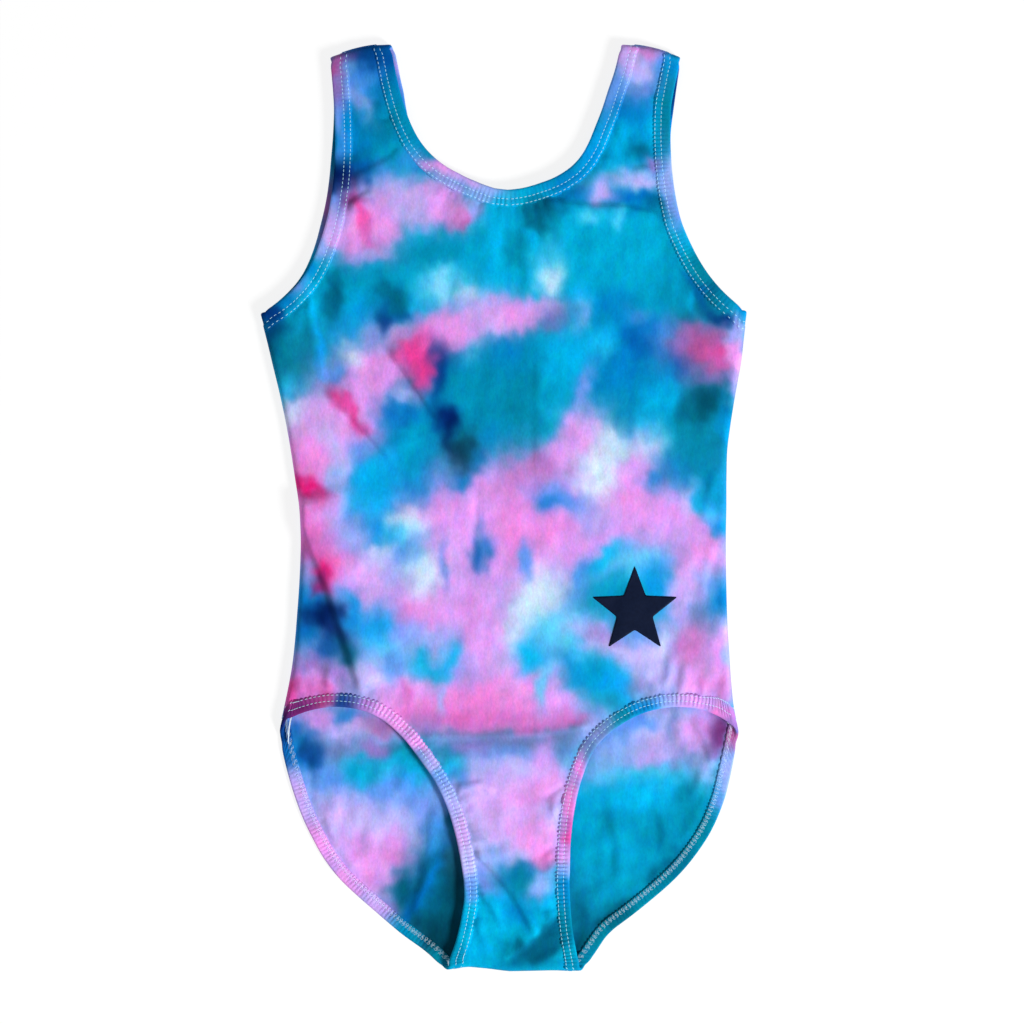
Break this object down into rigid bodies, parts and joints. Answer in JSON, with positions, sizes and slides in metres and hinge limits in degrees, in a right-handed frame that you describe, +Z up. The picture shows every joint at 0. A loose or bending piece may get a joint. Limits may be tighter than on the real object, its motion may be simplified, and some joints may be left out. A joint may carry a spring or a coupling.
{
  "type": "gymnastics leotard",
  "caption": "Sleeveless child's gymnastics leotard of tie-dyed stretch fabric with elastic hems and a printed star on the hip, lying flat on its back.",
  "frame": {"origin": "centre of the outline, on the surface that the leotard lies on", "axes": "+X to the viewer's right, +Y from the crotch towards the shoulders, +Z up out of the front face"},
  "size_m": [0.292, 0.557, 0.0102],
  "materials": {
    "dyed_fabric": "matte knit with a slight sheen, tie-dyed turquoise, blue, lavender and pink",
    "lining_fabric": "matte fine knit, plain pale",
    "elastic": "matte ribbed rubber tape",
    "stitching": "fine polyester thread, slight sheen",
    "overlock": "white textured polyester thread, matte",
    "label": "blank white satin ribbon",
    "star_print": "thin matte transfer film, blue-black"
  },
  "bodies": {
    "root": {"front_panel": "dyed_fabric", "back_panel": "dyed_fabric", "gusset_lining": "lining_fabric", "neck_elastic": "elastic", "left_armhole_elastic": "elastic", "right_armhole_elastic": "elastic", "left_leg_elastic": "elastic", "right_leg_elastic": "elastic", "neck_coverstitch": "stitching", "left_armhole_coverstitch": "stitching", "right_armhole_coverstitch": "stitching", "left_leg_coverstitch": "stitching", "right_leg_coverstitch": "stitching", "left_side_seam": "overlock", "right_side_seam": "overlock", "left_shoulder_seam": "overlock", "right_shoulder_seam": "overlock", "crotch_seam": "overlock", "care_label": "label", "hip_star": "star_print"}
  },
  "joints": []
}
